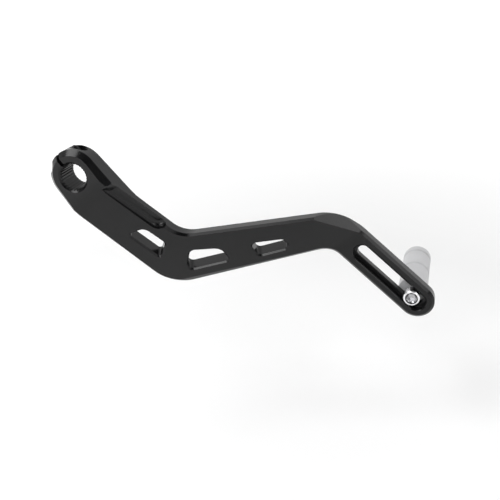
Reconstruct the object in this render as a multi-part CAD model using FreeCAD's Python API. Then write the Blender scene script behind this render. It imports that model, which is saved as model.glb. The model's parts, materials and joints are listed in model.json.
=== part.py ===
import FreeCAD, Part
import math
import os

# Motorcycle gear shift lever: a folded billet arm with a splined split clamp at one end and, at the other,
# a counterbored slot in which a toe peg is held by a cap screw.
# Everything is drawn with the clamp lying flat: X along the clamp's bar, Y along the splined bore (outboard
# is +Y), Z across the bar. The whole lever is then turned about the bore to the angle it is worn at.

Vector = FreeCAD.Vector
OUTBOARD = Vector(0, 1, 0)
ACROSS = Vector(0, 0, 1)
FAR = 300.0
TOLERANCE = 1e-3
FACING = 0.8
OVERSHOOT = 1.0

# Angle the lever is worn at, and its plan: clamp, leg and slotted tip, joined by two equal folds
LEVER_ANGLE = 50.0
FOLD_ANGLE = 25.0
FOLD_RADIUS = 18.0
INNER_FOLD_RADIUS = 28.0
INNER_FOLD = 15.2
OUTER_FOLD = 131.8
HEAD_THICKNESS = 16.5
LEG_THICKNESS = 9.5
TIP_THICKNESS = 9.0

# Side outline: clamp end, the two corners of the elbow, the two of the knee, and the tip
HEAD_RADIUS = 15.5
HEAD_LOW = 15.2
HEAD_CORNER = 15.0
HEAD_LOW_END = (20.0, -15.95)
HEAD_LOW_RADIUS = 300.0
ELBOW_LOW = (88.4, -19.35)
ELBOW_LOW_RADIUS = 21.0
ELBOW_HIGH = 64.5
ELBOW_HIGH_RADIUS = 14.0
KNEE_HIGH = 75.2
KNEE_HIGH_RADIUS = 26.0
KNEE_LOW = 62.1
KNEE_LOW_RADIUS = 14.0
TIP_CENTRE = (186.8, 97.9)
TIP_ANGLE = 11.2
TIP_RADIUS = 10.7

# Edge chamfers, and the wider bevels milled over them
FRONT_CHAMFER = 1.6
BACK_CHAMFER = 1.8
HEAD_BEVEL = 3.6
HEAD_BEVEL_END = 16.0
HEAD_BEVEL_TAPER = 0.04
HEAD_END_BEVEL = 3.0
HEAD_BACK_BEVEL = 4.4
HEAD_BACK_RUNOUT = 26.0
HEAD_SKIN = 0.5
BELLY_BEVEL = 3.6
BELLY_BEVEL_DEPTH = 1.9
BELLY_BEVEL_START = 15.0
BELLY_BEVEL_END = 87.0
BELLY_BEVEL_TAPER = 0.02
KNEE_FACET_OFFSET = 9.95
KNEE_FACET_SLOPE = 0.77
KNEE_FACET_START = 130.0
KNEE_FACET_FRONT = -40.0
KNEE_FACET_BACK = 3.0

# Windows in the leg, as corners (along the leg, across it, radius) of their chamfered mouths
WINDOW_CHAMFER = 1.0
WINDOWS = [
    [(31.6, -6.9, 3.0), (60.9, -6.9, 2.5), (53.8, 5.8, 4.0), (36.0, 5.4, 6.0)],
    [(78.5, -3.9, 4.0), (91.8, 24.2, 3.0), (79.2, 27.3, 8.0), (66.5, 11.2, 5.0)],
    [(100.3, 38.0, 4.0), (109.5, 59.0, 4.0), (99.5, 59.9, 4.0), (87.0, 41.0, 4.0)],
]

# Relief pocket along the upper edge of the leg, with a ramp at the clamp's end
POCKET_WALL = 9.3
POCKET_RAMP = (-1.0, 6.0)
POCKET_END = 44.0
POCKET_DEPTHS = (3.2, 4.6)
POCKET_FILLET = 3.0
POCKET_END_RADIUS = 6.0

# Splined clamp
SPLINE_TEETH = 30
SPLINE_LAND = 0.48
SPLINE_TIP_RADIUS = 7.6
SPLINE_ROOT_RADIUS = 8.3
SPLINE_ROOT_WIDTH = 0.7
BORE_MOUTH_RADIUS = 9.1
SLIT_WIDTH = 2.2
PINCH_OFFSET = 10.6
PINCH_HOLE_RADIUS = 2.15
PINCH_SEAT = 5.2
PINCH_SEAT_RADIUS = 3.7
EAR_GROOVE = (-15.2, -10.8)
EAR_GROOVE_RADIUS = 5.0

# Adjusting slot
SLOT_TRAVEL = 45.1
SLOT_WIDTH = 7.2
RECESS_WIDTH = 11.5
RECESS_DEPTH = 4.8
RECESS_CHAMFER = 0.6

# Fasteners and peg
PINCH_SHANK_RADIUS = 2.0
PINCH_LENGTH = 13.0
PINCH_HEAD_RADIUS = 3.5
PINCH_HEAD_HEIGHT = 4.0
PINCH_SOCKET = 3.0
SCREW_FROM_END = 4.2
SCREW_SHANK_RADIUS = 3.0
SCREW_HEAD_RADIUS = 5.0
SCREW_HEAD_HEIGHT = 6.0
SCREW_SOCKET = 5.0
SCREW_REACH = 12.0
HOLE_SPARE = 1.0
HEAD_EDGE_SHARE = 0.1
SINK_SHARE = 0.75
SOCKET_FLOOR_SHARE = 0.4
PEG_RADIUS = 9.0
PEG_LENGTH = 52.0
PEG_END_RADIUS = 3.5
PEG_GROOVES = (9.0, 29.0)
PEG_GROOVE_WIDTH = 2.6
PEG_GROOVE_DEPTH = 0.6
SLIDE_GAP = 0.1

# Places that follow from the dimensions above
FOLD = math.radians(FOLD_ANGLE)
HEAD_FRONT = -HEAD_THICKNESS / 2
HEAD_BACK = HEAD_THICKNESS / 2
TIP_FRONT = HEAD_FRONT + (OUTER_FOLD - INNER_FOLD) * math.tan(FOLD)
TIP_BACK = TIP_FRONT + TIP_THICKNESS
LEG_DEPTH = LEG_THICKNESS / math.cos(FOLD)
ALONG_LEG = Vector(math.cos(FOLD), math.sin(FOLD), 0)
THROUGH_LEG = Vector(-math.sin(FOLD), math.cos(FOLD), 0)
TIP_DIRECTION = Vector(math.cos(math.radians(TIP_ANGLE)), 0, math.sin(math.radians(TIP_ANGLE)))
TIP_ACROSS = Vector(-TIP_DIRECTION.z, 0, TIP_DIRECTION.x)
SLOT_END = Vector(TIP_CENTRE[0], 0, TIP_CENTRE[1])
SCREW_PLACE = SLOT_END - TIP_DIRECTION * SCREW_FROM_END


def rounded_face(corners, place):
    """Face of a polygon of (u, v, radius) corners, each rounded, with place(u, v) setting the points."""
    count = len(corners)
    cuts = []
    for index in range(count):
        u, v, radius = corners[index]
        here = Vector(u, v, 0)
        before = Vector(*corners[index - 1][:2], 0)
        after = Vector(*corners[(index + 1) % count][:2], 0)
        back = (before - here).normalize()
        ahead = (after - here).normalize()
        half = back.getAngle(ahead) / 2
        reach = radius / math.tan(half)
        middle = here + (back + ahead).normalize() * (radius / math.sin(half) - radius)
        cuts.append((here + back * reach, middle, here + ahead * reach, radius))
    edges = []
    for index in range(count):
        start, middle, end, radius = cuts[index]
        following = cuts[(index + 1) % count][0]
        if radius > 0:
            arc = Part.Arc(place(start.x, start.y), place(middle.x, middle.y), place(end.x, end.y))
            edges.append(arc.toShape())
        if (following - end).Length > 1e-6:
            edges.append(Part.LineSegment(place(end.x, end.y), place(following.x, following.y)).toShape())
    return Part.Face(Part.Wire(edges))


def polygon_face(points):
    """Flat face inside a closed run of straight lines."""
    return Part.Face(Part.makePolygon(points + points[:1]))


def on_tip(along, across, depth=0.0):
    """Point given along and across the tip's axis from the slot's outer end, at a depth along the bore."""
    return SLOT_END + TIP_DIRECTION * along + TIP_ACROSS * across + OUTBOARD * depth


def on_leg(along, across, depth=0.0):
    """Point given along the leg from the inner fold, across it, and behind its front face."""
    fold_point = Vector(INNER_FOLD, HEAD_FRONT, 0)
    return fold_point + ALONG_LEG * along + ACROSS * across + THROUGH_LEG * depth


def tip_corner(along, across, radius):
    """Corner of the side outline given in the tip's own directions."""
    point = on_tip(along, across)
    return point.x, point.z, radius


def make_blank():
    """Bar with the lever's side outline and its folded plan, chamfered along both faces."""
    side_corners = [
        (-HEAD_RADIUS, -HEAD_LOW, HEAD_CORNER),
        (*HEAD_LOW_END, HEAD_LOW_RADIUS),
        (*ELBOW_LOW, ELBOW_LOW_RADIUS),
        tip_corner(-KNEE_LOW, -TIP_RADIUS, KNEE_LOW_RADIUS),
        tip_corner(TIP_RADIUS, -TIP_RADIUS, TIP_RADIUS),
        tip_corner(TIP_RADIUS, TIP_RADIUS, TIP_RADIUS),
        tip_corner(-KNEE_HIGH, TIP_RADIUS, KNEE_HIGH_RADIUS),
        (ELBOW_HIGH, HEAD_RADIUS, ELBOW_HIGH_RADIUS),
        (-HEAD_RADIUS, HEAD_RADIUS, HEAD_CORNER),
    ]
    back_inner = INNER_FOLD + (HEAD_THICKNESS - LEG_DEPTH) / math.tan(FOLD)
    back_outer = OUTER_FOLD - (LEG_DEPTH - TIP_THICKNESS) / math.tan(FOLD)
    plan_corners = [
        (-FAR, HEAD_FRONT, 0),
        (INNER_FOLD, HEAD_FRONT, INNER_FOLD_RADIUS),
        (OUTER_FOLD, TIP_FRONT, FOLD_RADIUS),
        (FAR, TIP_FRONT, 0),
        (FAR, TIP_BACK, 0),
        (back_outer, TIP_BACK, FOLD_RADIUS),
        (back_inner, HEAD_BACK, FOLD_RADIUS),
        (-FAR, HEAD_BACK, 0),
    ]
    side = rounded_face(side_corners, lambda u, v: Vector(u, -FAR, v)).extrude(OUTBOARD * (2 * FAR))
    plan = rounded_face(plan_corners, lambda u, v: Vector(u, v, -FAR)).extrude(ACROSS * (2 * FAR))
    blank = side.common(plan).Solids[0]
    blank = blank.makeChamfer(FRONT_CHAMFER, rim_edges(blank, -1))
    return blank.makeChamfer(BACK_CHAMFER, rim_edges(blank, 1))


def rim_edges(solid, side):
    """Edges where the front (side -1) or back (side 1) of a blank meets the walls of its side outline."""
    found = []
    for edge in solid.Edges:
        middle = edge.valueAt((edge.FirstParameter + edge.LastParameter) / 2)
        slopes = []
        for face in solid.ancestorsOfType(edge, Part.Face):
            slopes.append(face.normalAt(*face.Surface.parameter(middle)).y * side)
        if max(slopes) > FACING and abs(min(slopes)) < TOLERANCE:
            found.append(edge)
    return found


def plane_edges(solid, point, normal, reach):
    """Edges of a solid in the plane through point, inside the box reach."""
    found = []
    for edge in solid.Edges:
        middle = edge.valueAt((edge.FirstParameter + edge.LastParameter) / 2)
        places = [vertex.Point for vertex in edge.Vertexes] + [middle]
        if all(abs((place - point).dot(normal)) < TOLERANCE and reach.isInside(place) for place in places):
            found.append(edge)
    return found


def bevel_cutter(corner, run, inset, drop):
    """Wedge that planes an edge off from inset to drop, both taken from corner, along the vector run."""
    overshoot = inset - drop
    outside = (inset + drop) * -2
    points = [corner + inset + overshoot, corner + drop - overshoot, corner + outside]
    return polygon_face(points).extrude(run)


def bevel_blank(blank):
    """Wider bevels: round the clamp, along its upper front edge, on the belly and over the knee."""
    head_corner = Vector(HEAD_BEVEL_END, HEAD_FRONT, HEAD_RADIUS)
    head_run = Vector(-2 * HEAD_RADIUS, 0, 2 * HEAD_RADIUS * HEAD_BEVEL_TAPER)
    blank = blank.cut(bevel_cutter(head_corner, head_run, ACROSS * -HEAD_BEVEL, OUTBOARD * HEAD_BEVEL))
    blank = blank.common(head_limit(-1, HEAD_END_BEVEL, FRONT_CHAMFER, HEAD_BEVEL_END))
    blank = blank.common(head_limit(1, HEAD_BACK_BEVEL, BACK_CHAMFER, HEAD_BACK_RUNOUT))
    return blank.cut(belly_cutter()).cut(knee_cutter())


def head_limit(side, bevel, edge, runout):
    """Space the clamp may fill, bevelled round its front (side -1) or back (1), less so at the runout."""
    face = side * HEAD_THICKNESS / 2
    flare = (bevel - edge) / runout
    half = HEAD_RADIUS + HEAD_SKIN
    corners = [
        (-half, -half + flare * half, HEAD_RADIUS),
        (runout, -half - flare * runout, 0),
        (runout, half + flare * runout, 0),
        (-half, half - flare * half, HEAD_RADIUS),
    ]
    block = rounded_face(corners, lambda u, v: Vector(u, face, v)).extrude(OUTBOARD * (-side * FAR))
    reach = FreeCAD.BoundBox(-FAR, -FAR, -FAR, FAR, FAR, FAR)
    rim = plane_edges(block, OUTBOARD * face, OUTBOARD, reach)
    rim = [line for line in rim if line.CenterOfMass.x < runout - HEAD_SKIN]
    block = block.makeChamfer(bevel + HEAD_SKIN, rim)
    return block.fuse(Part.makeBox(FAR, 2 * FAR, 2 * FAR, Vector(runout, -FAR, -FAR)))


def belly_cutter():
    """Wedge for the bevel under the middle stretch, widest at the elbow and gone at the knee."""
    low = Vector(ELBOW_LOW[0], 0, ELBOW_LOW[1])
    belly = (on_tip(-KNEE_LOW, -TIP_RADIUS) - low).normalize()
    run = Vector(belly.x, math.tan(FOLD) * belly.x, belly.z)
    inward = run.cross(THROUGH_LEG).normalize()
    front = HEAD_FRONT + (low.x - INNER_FOLD) * math.tan(FOLD)
    corner = low + OUTBOARD * front - run * BELLY_BEVEL_START
    length = BELLY_BEVEL_START + BELLY_BEVEL_END
    tapered = (run - inward * BELLY_BEVEL_TAPER) * length
    return bevel_cutter(corner, tapered, inward * BELLY_BEVEL, OUTBOARD * BELLY_BEVEL_DEPTH)


def knee_cutter():
    """Everything above the sloping facet that runs over the knee and out into the tip's upper edge."""
    sides = []
    for depth in (KNEE_FACET_BACK, KNEE_FACET_FRONT):
        offset = KNEE_FACET_OFFSET + KNEE_FACET_SLOPE * depth
        sides.append(on_tip(-KNEE_FACET_START, offset, TIP_FRONT + depth))
    for depth in (KNEE_FACET_FRONT, KNEE_FACET_BACK):
        sides.append(on_tip(-KNEE_FACET_START, FAR, TIP_FRONT + depth))
    tip_start = (TIP_CENTRE[0] - OUTER_FOLD) / TIP_DIRECTION.x
    return polygon_face(sides).extrude(TIP_DIRECTION * (KNEE_FACET_START - tip_start))


def cut_windows(arm):
    """Three windows square to the leg, chamfered at both mouths."""
    for corners in WINDOWS:
        mouth = rounded_face(corners, lambda u, v: on_leg(u, v, -LEG_THICKNESS))
        opening = mouth.makeOffset2D(-WINDOW_CHAMFER).extrude(THROUGH_LEG * (3 * LEG_THICKNESS))
        arm = arm.cut(opening)
        reach = opening.BoundBox
        rims = plane_edges(arm, on_leg(0, 0), THROUGH_LEG, reach)
        rims += plane_edges(arm, on_leg(0, 0, LEG_THICKNESS), THROUGH_LEG, reach)
        arm = arm.makeChamfer(WINDOW_CHAMFER, rims)
    return arm


def make_pocket():
    """Cutter for the relief pocket: a ramp down, a floor that deepens, a filleted wall and a rounded end."""
    high = 2 * HEAD_RADIUS
    profile = [
        on_leg(POCKET_RAMP[0], POCKET_WALL, -high),
        on_leg(POCKET_RAMP[0], POCKET_WALL),
        on_leg(POCKET_RAMP[1], POCKET_WALL, POCKET_DEPTHS[0]),
        on_leg(POCKET_END, POCKET_WALL, POCKET_DEPTHS[1]),
        on_leg(POCKET_END, POCKET_WALL, -high),
    ]
    pocket = polygon_face(profile).extrude(ACROSS * high)
    end = [edge for edge in pocket.Edges if abs(edge.Length - POCKET_DEPTHS[1] - high) < TOLERANCE
           and edge.CenterOfMass.z < POCKET_WALL + TOLERANCE]
    pocket = pocket.makeFillet(POCKET_END_RADIUS, end)
    floor = (profile[3] - profile[2]).cross(ACROSS).normalize()
    foot = FreeCAD.BoundBox(-FAR, -FAR, 0, FAR, FAR, high)
    rim = plane_edges(pocket, profile[2], floor, foot)
    return pocket.makeFillet(POCKET_FILLET, rim)


def slot_cutter(width, start, end):
    """Straight slot with round ends, from one depth to another."""
    radius = width / 2
    corners = [
        tip_corner(-SLOT_TRAVEL - radius, radius, radius),
        tip_corner(-SLOT_TRAVEL - radius, -radius, radius),
        tip_corner(radius, -radius, radius),
        tip_corner(radius, radius, radius),
    ]
    return rounded_face(corners, lambda u, v: Vector(u, start, v)).extrude(OUTBOARD * (end - start))


def cut_slot(arm):
    """Through slot for the screw's shank, and the wider recess for its head."""
    arm = arm.cut(slot_cutter(SLOT_WIDTH, TIP_FRONT - OVERSHOOT, TIP_BACK + OVERSHOOT))
    recess = slot_cutter(RECESS_WIDTH, TIP_FRONT - OVERSHOOT, TIP_FRONT + RECESS_DEPTH)
    arm = arm.cut(recess)
    rim = plane_edges(arm, Vector(0, TIP_FRONT, 0), OUTBOARD, recess.BoundBox)
    half = RECESS_WIDTH / 2 + TOLERANCE
    rim = [edge for edge in rim if abs((edge.CenterOfMass - SLOT_END).dot(TIP_ACROSS)) < half]
    return arm.makeChamfer(RECESS_CHAMFER, rim)


def make_spline():
    """Cutter for the splined bore: a round bore, a tapered groove per tooth gap, a coned mouth each side."""
    bore = Part.makeCylinder(SPLINE_TIP_RADIUS, 2 * HEAD_THICKNESS, OUTBOARD * -HEAD_THICKNESS, OUTBOARD)
    pitch = 2 * math.pi / SPLINE_TEETH
    inner = SPLINE_TIP_RADIUS * math.sin(pitch * (1 - SPLINE_LAND) / 2)
    level = SPLINE_TIP_RADIUS * math.cos(pitch * (1 - SPLINE_LAND) / 2)
    outer = SPLINE_ROOT_WIDTH / 2
    groove = polygon_face([
        Vector(level - OVERSHOOT, -HEAD_THICKNESS, -inner),
        Vector(level, -HEAD_THICKNESS, -inner),
        Vector(SPLINE_ROOT_RADIUS, -HEAD_THICKNESS, -outer),
        Vector(SPLINE_ROOT_RADIUS, -HEAD_THICKNESS, outer),
        Vector(level, -HEAD_THICKNESS, inner),
        Vector(level - OVERSHOOT, -HEAD_THICKNESS, inner),
    ]).extrude(OUTBOARD * (2 * HEAD_THICKNESS))
    cutters = []
    for tooth in range(SPLINE_TEETH):
        turned = groove.copy()
        turned.rotate(Vector(), OUTBOARD, 360.0 * (tooth + 0.5) / SPLINE_TEETH)
        cutters.append(turned)
    for side in (-1, 1):
        face = OUTBOARD * (side * HEAD_THICKNESS / 2)
        cutters.append(Part.makeCone(BORE_MOUTH_RADIUS, 0, BORE_MOUTH_RADIUS, face, OUTBOARD * -side))
    return bore.multiFuse(cutters)


def cut_clamp(arm):
    """Splined bore, slit, pinch-bolt hole with its counterbore, and the groove below the slit."""
    arm = arm.cut(make_spline())
    arm = arm.cut(Part.makeBox(FAR, 2 * FAR, SLIT_WIDTH, Vector(-FAR, -FAR, -SLIT_WIDTH / 2)))
    axis = Vector(-PINCH_OFFSET, 0, 0)
    hole = Part.makeCylinder(PINCH_HOLE_RADIUS, 3 * HEAD_RADIUS, axis - ACROSS * (1.5 * HEAD_RADIUS))
    seat = Part.makeCylinder(PINCH_SEAT_RADIUS, HEAD_RADIUS, axis + ACROSS * PINCH_SEAT)
    groove_start = Vector(EAR_GROOVE[0], -FAR, EAR_GROOVE[1])
    groove = Part.makeCylinder(EAR_GROOVE_RADIUS, 2 * FAR, groove_start, OUTBOARD)
    return arm.cut(hole).cut(seat).cut(groove)


def make_shift_arm():
    """The machined arm, one piece."""
    arm = cut_windows(make_blank())
    arm = bevel_blank(arm).cut(make_pocket())
    return cut_clamp(cut_slot(arm))


def hexagon(across_flats, depth):
    """Hexagonal prism up the Z axis."""
    radius = across_flats / math.sqrt(3)
    angles = [corner * math.pi / 3 for corner in range(6)]
    points = [Vector(radius * math.cos(angle), radius * math.sin(angle), 0) for angle in angles]
    return polygon_face(points).extrude(ACROSS * depth)


def make_cap_screw(shank_radius, length, head_radius, head_height, socket):
    """Socket-head cap screw along -Z, the underside of its head at the origin, its socket countersunk."""
    edge = head_radius * HEAD_EDGE_SHARE
    profile = [
        (0, -length),
        (shank_radius - edge, -length),
        (shank_radius, -length + edge),
        (shank_radius, 0),
        (head_radius, 0),
        (head_radius, head_height - edge),
        (head_radius - edge, head_height),
        (0, head_height),
    ]
    body = polygon_face([Vector(radius, 0, level) for radius, level in profile])
    body = body.revolve(Vector(), ACROSS, 360)
    floor = head_height * SOCKET_FLOOR_SHARE
    pit = hexagon(socket, head_height)
    pit.translate(ACROSS * floor)
    sink_radius = head_radius * SINK_SHARE
    sink_depth = min(sink_radius, head_height - floor)
    top = ACROSS * head_height
    sink = Part.makeCone(sink_radius, sink_radius - sink_depth, sink_depth, top, ACROSS * -1)
    return body.cut(pit).cut(sink)


def make_pinch_bolt():
    """Bolt that closes the slit, its head sunk in the counterbore."""
    head = (PINCH_HEAD_RADIUS, PINCH_HEAD_HEIGHT)
    bolt = make_cap_screw(PINCH_SHANK_RADIUS, PINCH_LENGTH, *head, PINCH_SOCKET)
    bolt.translate(Vector(-PINCH_OFFSET, 0, PINCH_SEAT))
    return bolt


def make_peg_screw():
    """Cap screw in the recess, passing through the slot into the peg."""
    length = TIP_THICKNESS - RECESS_DEPTH + SCREW_REACH
    head = (SCREW_HEAD_RADIUS, SCREW_HEAD_HEIGHT)
    screw = make_cap_screw(SCREW_SHANK_RADIUS, length, *head, SCREW_SOCKET)
    screw.rotate(Vector(), Vector(1, 0, 0), 90)
    screw.translate(SCREW_PLACE + OUTBOARD * (TIP_FRONT + RECESS_DEPTH - SLIDE_GAP))
    return screw


def make_toe_peg():
    """Turned peg with a rounded end, two grip grooves and a blind hole for the screw."""
    half = PEG_GROOVE_WIDTH / 2
    profile = [(0, PEG_LENGTH), (PEG_RADIUS, PEG_LENGTH)]
    for place in PEG_GROOVES:
        level = PEG_LENGTH - place
        bottom = PEG_RADIUS - PEG_GROOVE_DEPTH
        profile += [(PEG_RADIUS, level + half), (bottom, level), (PEG_RADIUS, level - half)]
    profile += [(PEG_RADIUS, 0), (0, 0)]
    peg = polygon_face([Vector(radius, 0, level) for radius, level in profile]).revolve(Vector(), ACROSS, 360)
    end = [edge for edge in peg.Edges if edge.BoundBox.ZMin > PEG_LENGTH - TOLERANCE and edge.Closed]
    peg = peg.makeFillet(PEG_END_RADIUS, end)
    peg = peg.cut(Part.makeCylinder(SCREW_SHANK_RADIUS, SCREW_REACH + HOLE_SPARE))
    peg.rotate(Vector(), Vector(1, 0, 0), -90)
    peg.translate(SCREW_PLACE + OUTBOARD * (TIP_BACK + SLIDE_GAP))
    return peg


os.makedirs("parts", exist_ok=True)
pieces = {
    "shift_arm": make_shift_arm(),
    "pinch_bolt": make_pinch_bolt(),
    "peg_screw": make_peg_screw(),
    "toe_peg": make_toe_peg(),
}
for name, shape in pieces.items():
    shape.rotate(Vector(), OUTBOARD, LEVER_ANGLE)
    shape.exportStep(os.path.join("parts", name + ".step"))
    print(name, "valid", shape.isValid(), "solids", len(shape.Solids), "volume", round(shape.Volume))
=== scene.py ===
import json
import math

import bpy
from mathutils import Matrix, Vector

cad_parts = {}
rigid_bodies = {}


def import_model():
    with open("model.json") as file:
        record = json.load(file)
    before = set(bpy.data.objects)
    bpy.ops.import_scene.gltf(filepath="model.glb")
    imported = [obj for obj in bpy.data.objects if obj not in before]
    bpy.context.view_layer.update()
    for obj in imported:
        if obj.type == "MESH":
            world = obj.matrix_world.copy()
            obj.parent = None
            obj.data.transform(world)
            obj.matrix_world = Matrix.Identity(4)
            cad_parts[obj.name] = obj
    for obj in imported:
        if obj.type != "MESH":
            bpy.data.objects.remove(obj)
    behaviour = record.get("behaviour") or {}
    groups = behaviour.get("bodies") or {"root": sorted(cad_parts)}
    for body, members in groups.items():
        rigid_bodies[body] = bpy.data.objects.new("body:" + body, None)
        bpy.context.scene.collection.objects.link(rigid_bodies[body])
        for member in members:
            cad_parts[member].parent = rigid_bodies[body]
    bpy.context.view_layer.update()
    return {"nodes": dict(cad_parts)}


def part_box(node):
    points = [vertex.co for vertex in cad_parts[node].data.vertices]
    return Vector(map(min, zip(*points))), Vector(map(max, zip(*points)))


# Motorcycle gear shift lever: finishes for its four pieces, in a white studio. Lengths are in metres.

for leftover in list(bpy.data.objects):
    bpy.data.objects.remove(leftover)

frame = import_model()
nodes = frame["nodes"]

# Camera at the photograph's viewing angle, its lens and sensor in millimetres
CAMERA_PLACE = (0.1976, -0.34065, 0.1283)
CAMERA_TURN = (math.radians(65.1), 0.0, math.radians(15.7))
LENS = 50.0
SENSOR_WIDTH = 36.0
CLIP_START = 0.01

# Finishes: noise scales in grains per metre; noise between the two levels covers a finish's whole range
NOISE_LEVELS = (0.3, 0.7)
CLOUD_SCALE = 60.0
CLOUD_DETAIL = 3.0
FINE_DETAIL = 2.0
BLAST_STRENGTH = 0.15
BLAST_DEPTH = 0.00002
EDGE_RADIUS = 0.00025

# Face of the turned screw, in shares of its radius, with painted shade in a dark band and a painted
# highlight in the light outer band, and the lathe marks on it
CENTRE_END = 0.62
PAINTED_SHADE_START = 0.67
PAINTED_SHADE_END = 0.74
PAINTED_HIGHLIGHT_START = 0.8
TURNED_CLOUD_SCALE = 300.0
LATHE_SCALE = 1250.0
LATHE_STRENGTH = 0.1
LATHE_DEPTH = 0.00001

# Floor, and the glow that keeps it white away from the object
FLOOR_PLACE = (0.1, 0.03, -0.17)
FLOOR_SIZE = 8.0
FLOOR_COLOUR = (0.95, 0.95, 0.95, 1.0)
GLOW_DISTANCES = (0.3, 1.2)
GLOW_LEVELS = (0.0, 0.7)

# Room by the direction it is seen in: its level from front to back (Y), and where the backdrop ends (Z)
ROOM_DEPTHS = (-0.35, 0.1)
ROOM_LEVELS = (0.02, 0.94)
BACKDROP_HEIGHTS = (0.28, 0.4)
BACKDROP_LEVELS = (1.0, 0.0)
WHITE = (1.0, 1.0, 1.0, 1.0)

# Soft lamps: name, place, width, height and radiance, all aimed at one point
LAMP_TARGET = (0.1, 0.02, -0.04)
LAMPS = [
    ("high_left", (-0.45, -0.29, 0.84), 0.52, 0.52, 5.6),
    ("front", (-0.06, -1.06, 0.66), 0.5, 1.0, 3.1),
    ("low_front", (-0.2, -1.07, 0.34), 0.3, 0.3, 5.2),
    ("back_left", (-0.51, 0.36, 0.67), 0.6, 0.6, 0.5),
    ("right", (0.73, -0.12, 0.43), 0.34, 0.34, 3.0),
]


def new_material(name):
    """Empty node material, with its maker of nodes and its linker."""
    material = bpy.data.materials.new(name)
    material.use_nodes = True
    tree = material.node_tree
    tree.nodes.clear()
    return material, tree.nodes.new, tree.links.new


def add_shader(make, link, metallic):
    """Principled shader, linked to the material's surface."""
    shader = make("ShaderNodeBsdfPrincipled")
    shader.inputs["Metallic"].default_value = metallic
    output = make("ShaderNodeOutputMaterial")
    link(shader.outputs["BSDF"], output.inputs["Surface"])
    return shader


def grain(make, link, scale, detail):
    """Noise in the object's own coordinates, scale in grains per metre."""
    place = make("ShaderNodeTexCoord")
    noise = make("ShaderNodeTexNoise")
    noise.inputs["Scale"].default_value = scale
    noise.inputs["Detail"].default_value = detail
    link(place.outputs["Object"], noise.inputs["Vector"])
    return noise.outputs["Fac"]


def remap(make, link, source, levels, values):
    """Number that goes from the first value to the second as source goes over the levels, and no further."""
    node = make("ShaderNodeMapRange")
    node.inputs["From Min"].default_value = levels[0]
    node.inputs["From Max"].default_value = levels[1]
    node.inputs["To Min"].default_value = values[0]
    node.inputs["To Max"].default_value = values[1]
    link(source, node.inputs["Value"])
    return node.outputs["Result"]


def combine(make, link, operation, first, second):
    """One number made from two, such as their product or the larger of them."""
    node = make("ShaderNodeMath")
    node.operation = operation
    link(first, node.inputs[0])
    link(second, node.inputs[1])
    return node.outputs[0]


def length(make, link, vector):
    """Length of a vector."""
    node = make("ShaderNodeVectorMath")
    node.operation = "LENGTH"
    link(vector, node.inputs[0])
    return node.outputs["Value"]


def colour_bands(make, link, source, bands):
    """Colour that goes through the bands, each a position and a colour, as source goes from 0 to 1."""
    node = make("ShaderNodeValToRGB")
    stops = node.color_ramp.elements
    for stop, (position, colour) in zip(stops, (bands[0], bands[-1])):
        stop.position = position
        stop.color = (*colour, 1.0)
    for position, colour in bands[1:-1]:
        stops.new(position).color = (*colour, 1.0)
    link(source, node.inputs["Fac"])
    return node.outputs["Color"]


def add_bump(make, link, height, strength, depth):
    """Bump that follows a height."""
    node = make("ShaderNodeBump")
    node.inputs["Strength"].default_value = strength
    node.inputs["Distance"].default_value = depth
    link(height, node.inputs["Height"])
    return node


def blasted(name, low, high, metallic, specular, rough, specks):
    """Finish with faint clouds of colour and gloss, a fine blasted grain and slightly broken edges."""
    material, make, link = new_material(name)
    shader = add_shader(make, link, metallic)
    shader.inputs["Specular IOR Level"].default_value = specular
    clouds = grain(make, link, CLOUD_SCALE, CLOUD_DETAIL)
    bands = list(zip(NOISE_LEVELS, (low, high)))
    link(colour_bands(make, link, clouds, bands), shader.inputs["Base Color"])
    link(remap(make, link, clouds, NOISE_LEVELS, rough), shader.inputs["Roughness"])
    edges = make("ShaderNodeBevel")
    edges.inputs["Radius"].default_value = EDGE_RADIUS
    bump = add_bump(make, link, grain(make, link, specks, FINE_DETAIL), BLAST_STRENGTH, BLAST_DEPTH)
    link(edges.outputs["Normal"], bump.inputs["Normal"])
    link(bump.outputs["Normal"], shader.inputs["Normal"])
    return material


def turned(name, node, centre, painted_shade, painted_highlight, rough):
    """Bright metal turned about the node's Y axis: a plain centre, painted shade in a dark band, a painted
    highlight in the light outer band, and lathe marks.
    """
    low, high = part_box(node)
    middle = (low + high) / 2
    radius = (high.x - low.x) / 2
    material, make, link = new_material(name)
    shader = add_shader(make, link, metallic=1.0)
    place = make("ShaderNodeTexCoord")
    across = make("ShaderNodeMapping")
    across.inputs["Scale"].default_value = (1.0, 0.0, 1.0)
    across.inputs["Location"].default_value = (-middle.x, 0.0, -middle.z)
    link(place.outputs["Object"], across.inputs["Vector"])
    from_axis = length(make, link, across.outputs["Vector"])
    share = remap(make, link, from_axis, (0.0, radius), (0.0, 1.0))
    # The dark band paints shade and the light outer band paints a highlight on the screw's face
    bands = [(CENTRE_END, centre), (PAINTED_SHADE_START, painted_shade), (PAINTED_SHADE_END, painted_shade), (PAINTED_HIGHLIGHT_START, painted_highlight)]
    link(colour_bands(make, link, share, bands), shader.inputs["Base Color"])
    clouds = grain(make, link, TURNED_CLOUD_SCALE, FINE_DETAIL)
    link(remap(make, link, clouds, NOISE_LEVELS, rough), shader.inputs["Roughness"])
    marks = make("ShaderNodeTexWave")
    marks.wave_type = "RINGS"
    marks.rings_direction = "Y"
    marks.inputs["Scale"].default_value = LATHE_SCALE
    link(across.outputs["Vector"], marks.inputs["Vector"])
    bump = add_bump(make, link, marks.outputs["Fac"], LATHE_STRENGTH, LATHE_DEPTH)
    link(bump.outputs["Normal"], shader.inputs["Normal"])
    return material


def black_anodised():
    """Satin black anodising of the arm."""
    return blasted("black_anodised", low=(0.003, 0.003, 0.0032), high=(0.005, 0.005, 0.0054),
                   metallic=0.0, specular=0.29, rough=(0.2, 0.26), specks=5200.0)


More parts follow.
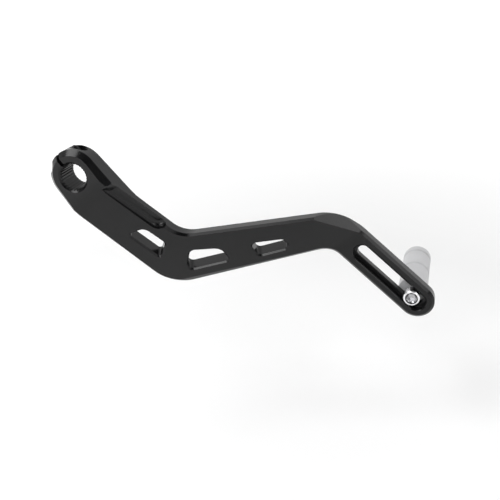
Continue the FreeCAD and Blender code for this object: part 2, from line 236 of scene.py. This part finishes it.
def black_oxide():
    """Duller black oxide of the pinch bolt."""
    return blasted("black_oxide", low=(0.010, 0.010, 0.011), high=(0.018, 0.018, 0.019),
                   metallic=0.3, specular=0.5, rough=(0.38, 0.46), specks=7000.0)


def bright_steel():
    """Bright plated steel of the peg's screw, with painted shade in a dark band and a painted highlight in
    its light outer band.
    """
    return turned("bright_steel", "peg_screw", centre=(0.42, 0.42, 0.43), painted_shade=(0.02, 0.02, 0.022),
                  painted_highlight=(0.84, 0.84, 0.85), rough=(0.22, 0.3))


def pale_grey():
    """Pale satin grey of the toe peg."""
    return blasted("pale_grey", low=(0.46, 0.46, 0.47), high=(0.52, 0.52, 0.53),
                   metallic=0.0, specular=0.5, rough=(0.3, 0.38), specks=3800.0)


def dress(name, material):
    """Gives a node its finish, in place of what it was loaded with."""
    slots = nodes[name].data.materials
    slots.clear()
    slots.append(material)


def direct_ray(make, link):
    """1 for camera, glossy and transmission rays, 0 for the rest."""
    path = make("ShaderNodeLightPath")
    seen = combine(make, link, "MAXIMUM", path.outputs["Is Camera Ray"], path.outputs["Is Glossy Ray"])
    return combine(make, link, "MAXIMUM", seen, path.outputs["Is Transmission Ray"])


def build_floor():
    """Wide pale floor: lit near the object, where it takes the soft shadow, and plain white farther out."""
    bpy.ops.mesh.primitive_plane_add(size=FLOOR_SIZE, location=FLOOR_PLACE)
    floor = bpy.context.object
    floor.name = "floor"
    material, make, link = new_material("pale_floor")
    matte = make("ShaderNodeBsdfDiffuse")
    matte.inputs["Color"].default_value = FLOOR_COLOUR
    place = make("ShaderNodeTexCoord")
    distance = length(make, link, place.outputs["Object"])
    level = remap(make, link, distance, GLOW_DISTANCES, GLOW_LEVELS)
    strength = combine(make, link, "MULTIPLY", level, direct_ray(make, link))
    glow = make("ShaderNodeEmission")
    link(strength, glow.inputs["Strength"])
    both = make("ShaderNodeAddShader")
    output = make("ShaderNodeOutputMaterial")
    link(matte.outputs["BSDF"], both.inputs[0])
    link(glow.outputs["Emission"], both.inputs[1])
    link(both.outputs["Shader"], output.inputs["Surface"])
    floor.data.materials.append(material)


def build_world():
    """White studio behind; on the camera's side it is dark above a white backdrop at the horizon."""
    world = bpy.data.worlds.new("studio")
    bpy.context.scene.world = world
    world.use_nodes = True
    tree = world.node_tree
    tree.nodes.clear()
    make = tree.nodes.new
    link = tree.links.new
    place = make("ShaderNodeTexCoord")
    direction = make("ShaderNodeSeparateXYZ")
    link(place.outputs["Generated"], direction.inputs["Vector"])
    room = remap(make, link, direction.outputs["Y"], ROOM_DEPTHS, ROOM_LEVELS)
    backdrop = remap(make, link, direction.outputs["Z"], BACKDROP_HEIGHTS, BACKDROP_LEVELS)
    shown = combine(make, link, "MULTIPLY", backdrop, direct_ray(make, link))
    background = make("ShaderNodeBackground")
    background.inputs["Color"].default_value = WHITE
    link(combine(make, link, "MAXIMUM", room, shown), background.inputs["Strength"])
    output = make("ShaderNodeOutputWorld")
    link(background.outputs["Background"], output.inputs["Surface"])


def add_softbox(name, place, width, height, radiance):
    """Rectangular soft lamp of a stated radiance, aimed at the lamps' target."""
    data = bpy.data.lights.new(name, "AREA")
    data.shape = "RECTANGLE"
    data.size = width
    data.size_y = height
    data.energy = radiance * math.pi * width * height
    lamp = bpy.data.objects.new(name, data)
    bpy.context.scene.collection.objects.link(lamp)
    lamp.location = place
    aim = Vector(LAMP_TARGET) - Vector(place)
    lamp.rotation_euler = aim.to_track_quat("-Z", "Y").to_euler()


def build_camera():
    """Camera that frames the lever as the photograph does."""
    data = bpy.data.cameras.new("camera")
    data.lens = LENS
    data.sensor_width = SENSOR_WIDTH
    data.clip_start = CLIP_START
    camera = bpy.data.objects.new("camera", data)
    camera.location = CAMERA_PLACE
    camera.rotation_euler = CAMERA_TURN
    bpy.context.scene.collection.objects.link(camera)
    bpy.context.scene.camera = camera


dress("shift_arm", black_anodised())
dress("pinch_bolt", black_oxide())
dress("peg_screw", bright_steel())
dress("toe_peg", pale_grey())
build_floor()
build_world()
for lamp_values in LAMPS:
    add_softbox(*lamp_values)
build_camera()
bpy.context.scene.view_settings.view_transform = "Standard"
